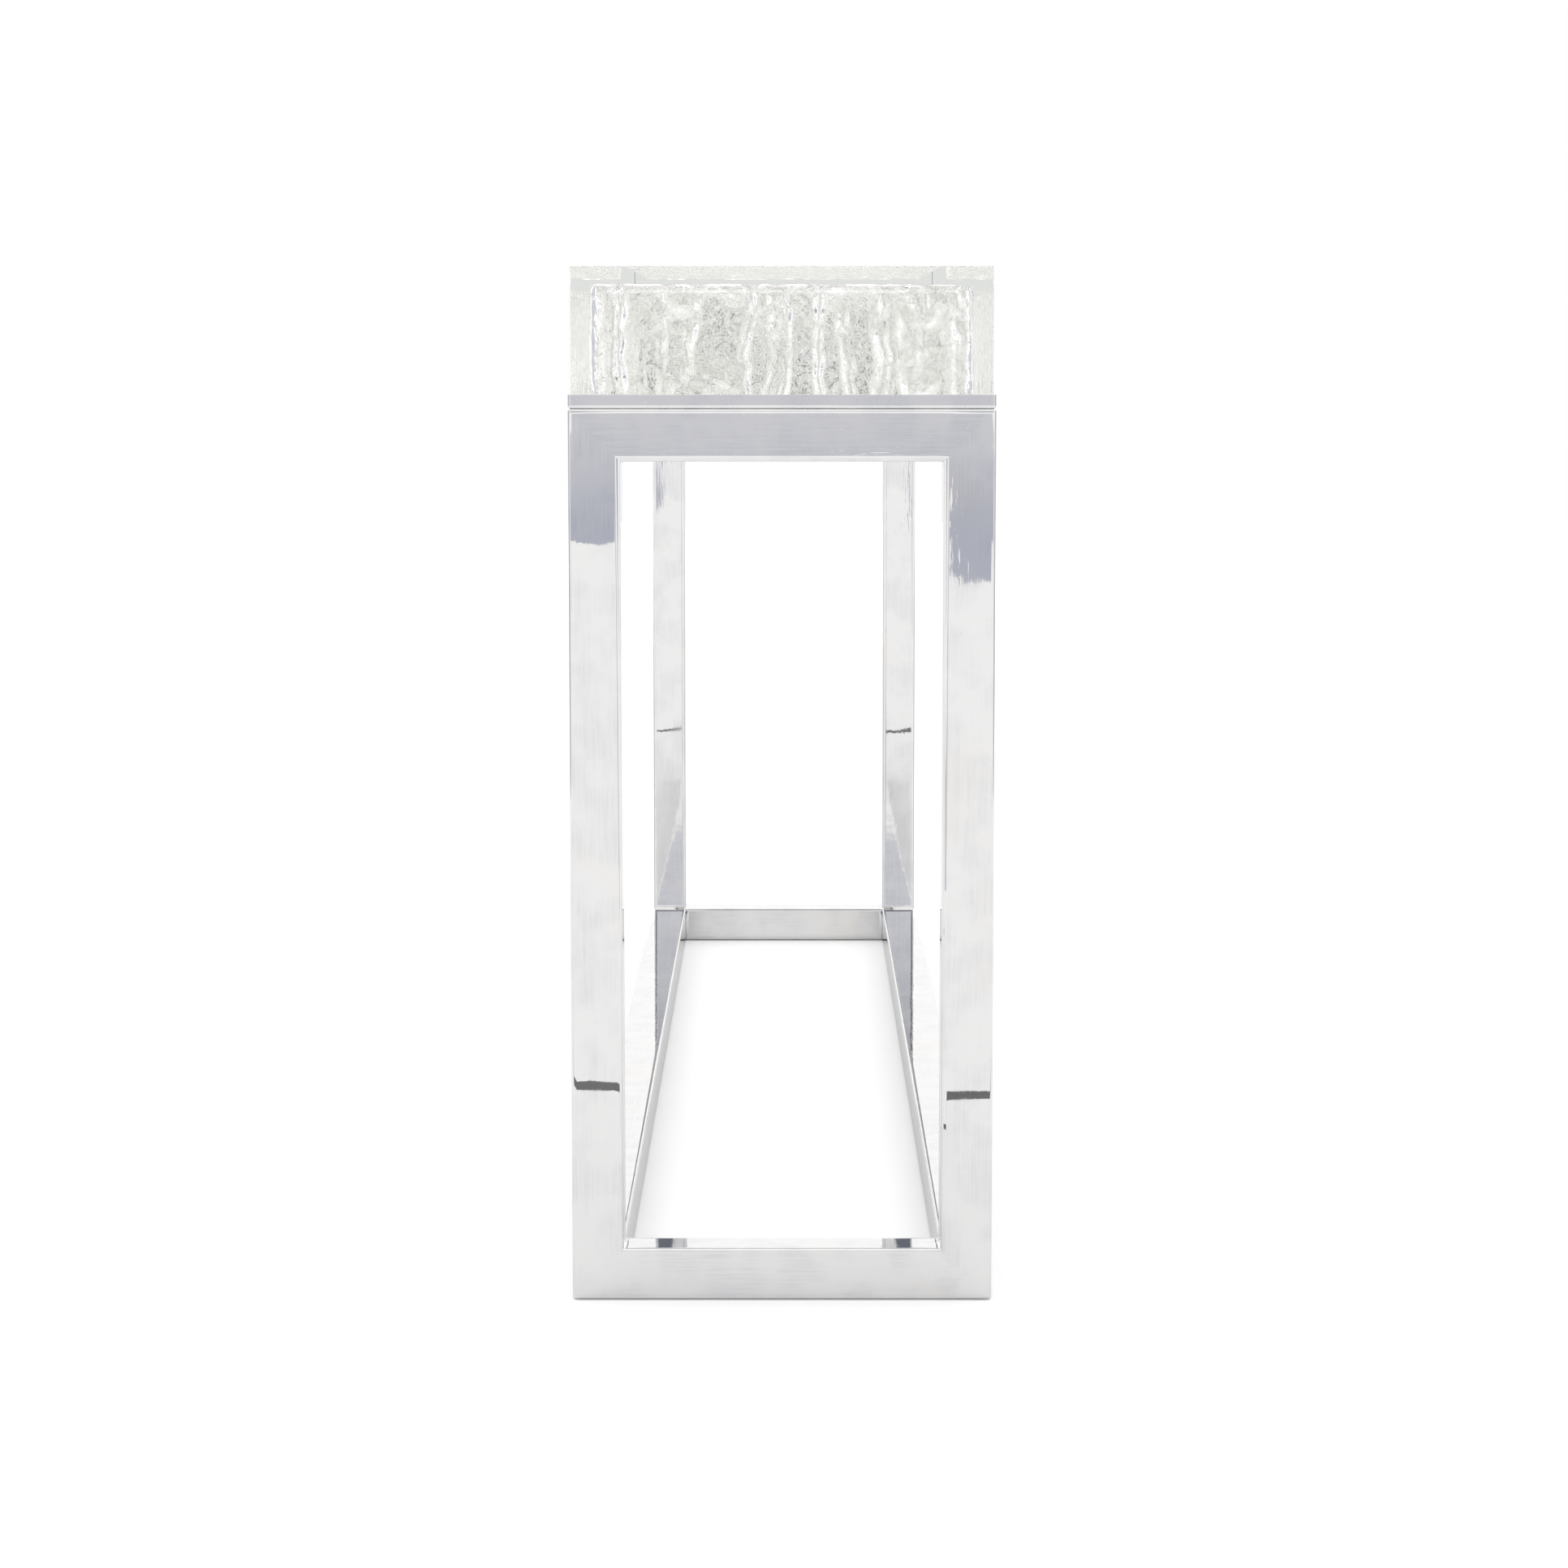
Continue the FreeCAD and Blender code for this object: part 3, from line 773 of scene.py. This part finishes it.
def nutMesh(flats, low, high):
    chamfer, bore, sunk = fixings["nutChamfer"], fixings["boreRadius"], fixings["sunkBore"]
    halfSide = math.radians(30)
    corner = flats / 2 / math.cos(halfSide)
    rings = [(corner - 2 * chamfer, low), (corner, low + chamfer), (corner, high - chamfer),
             (corner - 2 * chamfer, high), (bore + sunk, high), (bore, high - sunk), (bore, low + sunk),
             (bore + sunk, low)]

    def radiusAt(limit, angle, _):
        if limit <= bore + sunk:
            return limit
        side = halfSide - abs(angle % math.radians(60) - halfSide)
        return min(limit, flats / 2 / math.cos(halfSide - side))

    return lathe("hexNut", rings, radiusAt, fixings["roundSteps"], True, fixings["nutSmoothAngle"])


def washerMesh(radius, low, high):
    bore, ease = fixings["washerBore"], fixings["edgeBreak"]
    rings = [(radius - ease, low), (radius, low + ease), (radius, high - ease), (radius - ease, high),
             (bore + ease, high), (bore, high - ease), (bore, low + ease), (bore + ease, low)]
    return lathe("flatWasher", rings, lambda r, *_: r, fixings["roundSteps"], True,
                 fixings["smoothAngle"])


# sets one part on every crossing of a grid of places
def placesTree():
    tree = bpy.data.node_groups.new("setOnPlaces", "GeometryNodeTree")
    face = tree.interface
    face.new_socket("Geometry", in_out="INPUT", socket_type="NodeSocketGeometry")
    for name in ("Length", "Width"):
        face.new_socket(name, in_out="INPUT", socket_type="NodeSocketFloat")
    for name in ("Count Along", "Count Across"):
        face.new_socket(name, in_out="INPUT", socket_type="NodeSocketInt")
    face.new_socket("Material", in_out="INPUT", socket_type="NodeSocketMaterial")
    face.new_socket("Geometry", in_out="OUTPUT", socket_type="NodeSocketGeometry")
    given = addNode(tree, "NodeGroupInput").outputs
    grid = addNode(tree, "GeometryNodeMeshGrid",
                   links={"Size X": given["Length"], "Size Y": given["Width"],
                          "Vertices X": given["Count Along"], "Vertices Y": given["Count Across"]})
    parts = addNode(tree, "GeometryNodeInstanceOnPoints",
                    links={"Points": grid.outputs[0], "Instance": given["Geometry"]})
    solid = addNode(tree, "GeometryNodeRealizeInstances", links={0: parts.outputs[0]})
    finished = addNode(tree, "GeometryNodeSetMaterial", links={"Geometry": solid.outputs[0],
                                                               "Material": given["Material"]})
    addNode(tree, "NodeGroupOutput", links={"Geometry": finished.outputs[0]})
    return tree


def setInputs(modifier, values):
    for item in modifier.node_group.interface.items_tree:
        if item.in_out == "INPUT" and item.name in values:
            modifier[item.identifier] = values[item.name]


def grown(name, mesh, tree, values):
    maker = bpy.data.objects.new(name, mesh)
    scene.collection.objects.link(maker)
    modifier = maker.modifiers.new(name, "NODES")
    modifier.node_group = tree
    setInputs(modifier, values)
    bpy.context.view_layer.update()
    result = bpy.data.meshes.new_from_object(maker.evaluated_get(bpy.context.evaluated_depsgraph_get()))
    bpy.data.objects.remove(maker)
    return result


def buildFixings():
    tree = placesTree()
    washersLow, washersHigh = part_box("stud_washers")
    spacing = [washersHigh[i] - washersLow[i] - fixings["washerWidth"] for i in (0, 1)]
    kinds = (("pan_weld_studs", "studWidth", millSteel, "plain_stainless"),
             ("stud_nuts", "nutWidth", brightZinc, "zinc_hardware"),
             ("stud_washers", "washerWidth", brightZinc, "zinc_hardware"))
    for node, width, material, slotName in kinds:
        low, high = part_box(node)
        if node == "pan_weld_studs":
            mesh = studMesh(fixings[width] / 2, low[2], high[2])
        elif node == "stud_nuts":
            mesh = nutMesh(fixings[width], low[2], high[2])
        else:
            mesh = washerMesh(fixings[width] / 2, low[2], high[2])
        result = grown(node, mesh, tree, {
            "Length": spacing[0], "Width": spacing[1], "Count Along": fixings["countAlong"],
            "Count Across": fixings["countAcross"], "Material": material,
        })
        newPiece(f"{node}_set", result, rootBody, [node])


buildFixings()
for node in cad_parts:
    if node.startswith("cross_bearer"):
        giveMaterial(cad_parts[node], millSteel)
    elif node.startswith("slab_bumper"):
        giveMaterial(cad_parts[node], clearSilicone)
    elif node.startswith("floor_glide"):
        giveMaterial(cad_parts[node], clearVinyl)
print("fixings set")


slab = {
    "wall": 14 * mm,
    "ceiling": 13.5 * mm,
    "cornerRadius": 10 * mm,
    "arris": 0.8 * mm,
    "arrisSteps": 3,
    "meshStep": (3.3 * mm, 5.2 * mm, 4.2 * mm),
    "endCuts": 3,  # the end walls are seen closest, so their mesh is four times as fine
    "longShare": 0.45,  # the relief is shallower along the long walls and the ceiling
    "longFade": 30 * mm,
    "rimFade": 5 * mm,  # the relief starts this far above the slab's lower edge
    "cornerBand": 5 * mm,  # how far below the ceiling the walls are rougher
    "ridgeSpacing": 29 * mm,
    "ridgeWidth": 5.0 * mm,
    "ridgeDepth": 3.6 * mm,
    "ridgeStretch": 0.12,
    "breakSize": 22 * mm,  # ridges weaken and strengthen along their length
    "breakSpread": (0.35, 0.60, 0.25, 1.0),  # noise from and to, and how much of the ridge they give
    "wobble": 13 * mm,
    "wobbleSize": 2.2,  # how long a wobble is, against its reach
    "lumpSize": 14 * mm,
    "lumpDepth": 0.7 * mm,
    "lumpStretch": 0.4,
    "lumpSpread": (0.3, 0.7),
    "lumpDetail": 1.5,
    "lumpDistortion": 0.5,
    "fineSize": 4.5 * mm,
    "fineDepth": 0.32 * mm,
    "fineShare": 0.15,  # how much of the fine roughness lies away from crests and corners
    "fineGain": 4.0,
    "seed": 4.0,
}


def slabMesh(low, high):
    wall = slab["wall"]
    inLow = Vector((low[0] + wall, low[1] + wall, low[2]))
    inHigh = Vector((high[0] - wall, high[1] - wall, high[2] - slab["ceiling"]))
    size = inHigh - inLow
    counts = [max(2, round(size[i] / slab["meshStep"][i])) for i in range(3)]
    bm = bmesh.new()
    relief = bm.verts.layers.float.new("relief")
    rough = bm.verts.layers.float.new("rough")

    # cavity: a box of small quads, open below
    corners = {}

    def point(i, j, k):
        key = (i, j, k)
        if key not in corners:
            share = (i / counts[0], j / counts[1], k / counts[2])
            corners[key] = bm.verts.new([inLow[a] + share[a] * size[a] for a in range(3)])
        return corners[key]

    for j in range(counts[1]):
        for k in range(counts[2]):
            for i in (0, counts[0]):
                ring = [point(i, j, k), point(i, j + 1, k), point(i, j + 1, k + 1), point(i, j, k + 1)]
                bm.faces.new(ring if i == 0 else ring[::-1])
    endFaces = bm.faces[:]
    for i in range(counts[0]):
        for k in range(counts[2]):
            for j in (0, counts[1]):
                ring = [point(i, j, k), point(i + 1, j, k), point(i + 1, j, k + 1), point(i, j, k + 1)]
                bm.faces.new(ring[::-1] if j == 0 else ring)
        for j in range(counts[1]):
            k = counts[2]
            bm.faces.new([point(i, j, k), point(i, j + 1, k), point(i + 1, j + 1, k), point(i + 1, j, k)])
    endEdges = list({e for f in endFaces for e in f.edges})
    bmesh.ops.subdivide_edges(bm, edges=endEdges, cuts=slab["endCuts"], use_grid_fill=True)

    # round its upright corners, and let the relief fade out at the rim
    radius = slab["cornerRadius"]
    for v in bm.verts:
        core = Vector((min(max(v.co[0], inLow[0] + radius), inHigh[0] - radius),
                       min(max(v.co[1], inLow[1] + radius), inHigh[1] - radius), v.co[2]))
        out = v.co - core
        if out.length > radius:
            v.co = core + out * (radius / out.length)
        inCorner = min(abs(out[0]), abs(out[1])) > 0.2 * mm
        underCeiling = v.co[2] > inHigh[2] - slab["cornerBand"] and out.length > 0
        if inCorner or underCeiling:
            v[rough] = 1.0
        nearEnd = 1 - min(v.co[0] - inLow[0], inHigh[0] - v.co[0]) / slab["longFade"]
        share = slab["longShare"] + (1 - slab["longShare"]) * max(0.0, nearEnd)
        v[relief] = min(1.0, (v.co[2] - low[2]) / slab["rimFade"]) * share
    for f in bm.faces:
        f.smooth = True

    # outside: a plain block with a fine arris, open below
    block = bmesh.ops.create_cube(bm, size=1.0)["verts"]
    middle, span = (low + high) / 2, high - low
    for v in block:
        v.co = Vector([middle[a] + v.co[a] * span[a] for a in range(3)])
    bottom = [f for f in {f for v in block for f in v.link_faces} if f.normal[2] < -0.5 or
              all(abs(v.co[2] - low[2]) < 1e-6 for v in f.verts)]
    bmesh.ops.delete(bm, geom=bottom, context="FACES_ONLY")
    sharp = [e for e in {e for v in block for e in v.link_edges} if not e.is_boundary]
    bmesh.ops.bevel(bm, geom=sharp, offset=slab["arris"], segments=slab["arrisSteps"], profile=0.5,
                    affect="EDGES")
    rims = [e for e in bm.edges if e.is_boundary]
    bmesh.ops.triangle_fill(bm, edges=rims, use_beauty=True, normal=(0, 0, -1))
    bmesh.ops.recalc_face_normals(bm, faces=bm.faces)
    print("slab faces", len(bm.faces), "open edges", sum(e.is_boundary for e in bm.edges))
    return meshFrom(bm, "glass_slab")


# pushes each point of the cavity's skin along its normal, by the sum of ridges, lumps and fine roughness
def reliefTree():
    tree = bpy.data.node_groups.new("castIceRelief", "GeometryNodeTree")
    face = tree.interface
    face.new_socket("Geometry", in_out="INPUT", socket_type="NodeSocketGeometry")
    for name in ("Ridge Spacing", "Ridge Width", "Ridge Depth", "Wobble", "Lump Size", "Lump Depth",
                 "Fine Size", "Fine Depth", "Seed"):
        face.new_socket(name, in_out="INPUT", socket_type="NodeSocketFloat")
    face.new_socket("Material", in_out="INPUT", socket_type="NodeSocketMaterial")
    face.new_socket("Geometry", in_out="OUTPUT", socket_type="NodeSocketGeometry")
    given = addNode(tree, "NodeGroupInput").outputs
    place = addNode(tree, "GeometryNodeInputPosition").outputs[0]

    def maths(operation, first, second):
        return addNode(tree, "ShaderNodeMath", {"operation": operation}, {0: first, 1: second}).outputs[0]

    def noise(vector, spacing, detail, distortion=0.0):
        node = addNode(tree, "ShaderNodeTexNoise", {"noise_dimensions": "4D"},
                       {"Vector": vector, "W": given["Seed"], "Scale": maths("DIVIDE", 1.0, spacing),
                        "Detail": detail, "Distortion": distortion})
        return node.outputs

    # ridges run down the walls like drips, so their noise is drawn out along Z
    sway = noise(place, maths("MULTIPLY", given["Wobble"], slab["wobbleSize"]), 1.0)["Color"]
    centred = addNode(tree, "ShaderNodeVectorMath", {"operation": "SUBTRACT"},
                      {0: sway, 1: (0.5, 0.5, 0.5)})
    swayed = addNode(tree, "ShaderNodeVectorMath", {"operation": "SCALE"},
                     {0: centred.outputs[0], "Scale": given["Wobble"]})
    moved = addNode(tree, "ShaderNodeVectorMath", {"operation": "ADD"}, {0: place, 1: swayed.outputs[0]})
    drawn = addNode(tree, "ShaderNodeVectorMath", {"operation": "MULTIPLY"},
                    {0: moved.outputs[0], 1: (1, 1, slab["ridgeStretch"])}).outputs[0]
    tall = addNode(tree, "ShaderNodeVectorMath", {"operation": "MULTIPLY"},
                   {0: moved.outputs[0], 1: (1, 1, slab["lumpStretch"])}).outputs[0]
    cells = addNode(tree, "ShaderNodeTexVoronoi", {"feature": "DISTANCE_TO_EDGE"},
                    {"Vector": drawn, "Scale": maths("DIVIDE", 1.0, given["Ridge Spacing"])})
    edge = maths("MULTIPLY", cells.outputs["Distance"], given["Ridge Spacing"])
    line = addNode(tree, "ShaderNodeMapRange", {"interpolation_type": "SMOOTHSTEP"},
                   {0: edge, 1: 0.0, 2: given["Ridge Width"], 3: 1.0, 4: 0.0}).outputs[0]
    weak, strong, least, most = slab["breakSpread"]
    broken = addNode(tree, "ShaderNodeMapRange", links={0: noise(place, slab["breakSize"], 1.0)[0],
                                                        1: weak, 2: strong, 3: least, 4: most}).outputs[0]
    crest = maths("MULTIPLY", line, broken)
    ridges = maths("MULTIPLY", crest, given["Ridge Depth"])
    lumpNoise = noise(tall, given["Lump Size"], slab["lumpDetail"], slab["lumpDistortion"])[0]
    flat, full = slab["lumpSpread"]
    lumps = addNode(tree, "ShaderNodeMapRange",
                    links={0: lumpNoise, 1: flat, 2: full, 4: given["Lump Depth"]}).outputs[0]
    corner = addNode(tree, "GeometryNodeInputNamedAttribute", {"data_type": "FLOAT"}, {"Name": "rough"})
    where = maths("ADD", maths("ADD", crest, corner.outputs[0]), slab["fineShare"])
    fine = maths("MULTIPLY", maths("MULTIPLY", noise(place, given["Fine Size"], 1.0)[0], where),
                 maths("MULTIPLY", given["Fine Depth"], slab["fineGain"]))
    height = maths("ADD", maths("ADD", ridges, lumps), fine)
    level = maths("SUBTRACT", height, maths("MULTIPLY", given["Ridge Depth"], 0.5))
    mask = addNode(tree, "GeometryNodeInputNamedAttribute", {"data_type": "FLOAT"}, {"Name": "relief"})
    shown = maths("MULTIPLY", level, mask.outputs[0])
    normal = addNode(tree, "GeometryNodeInputNormal").outputs[0]
    push = addNode(tree, "ShaderNodeVectorMath", {"operation": "SCALE"}, {0: normal, "Scale": shown})
    cast = addNode(tree, "GeometryNodeSetPosition", links={"Geometry": given["Geometry"],
                                                           "Offset": push.outputs[0]})
    solid = addNode(tree, "GeometryNodeRealizeInstances", links={0: cast.outputs[0]})
    finished = addNode(tree, "GeometryNodeSetMaterial", links={"Geometry": solid.outputs[0],
                                                               "Material": given["Material"]})
    addNode(tree, "NodeGroupOutput", links={"Geometry": finished.outputs[0]})
    return tree


def buildSlab():
    low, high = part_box("glass_slab")
    mesh = grown("castRelief", slabMesh(low, high), reliefTree(), {
        "Ridge Spacing": slab["ridgeSpacing"], "Ridge Width": slab["ridgeWidth"],
        "Ridge Depth": slab["ridgeDepth"], "Wobble": slab["wobble"],
        "Lump Size": slab["lumpSize"], "Lump Depth": slab["lumpDepth"],
        "Fine Size": slab["fineSize"], "Fine Depth": slab["fineDepth"],
        "Seed": slab["seed"], "Material": castGlassMaterial,
    })
    newPiece("cast_glass_slab", mesh, slabBody, ["glass_slab"])


buildSlab()
print("glass slab cast")
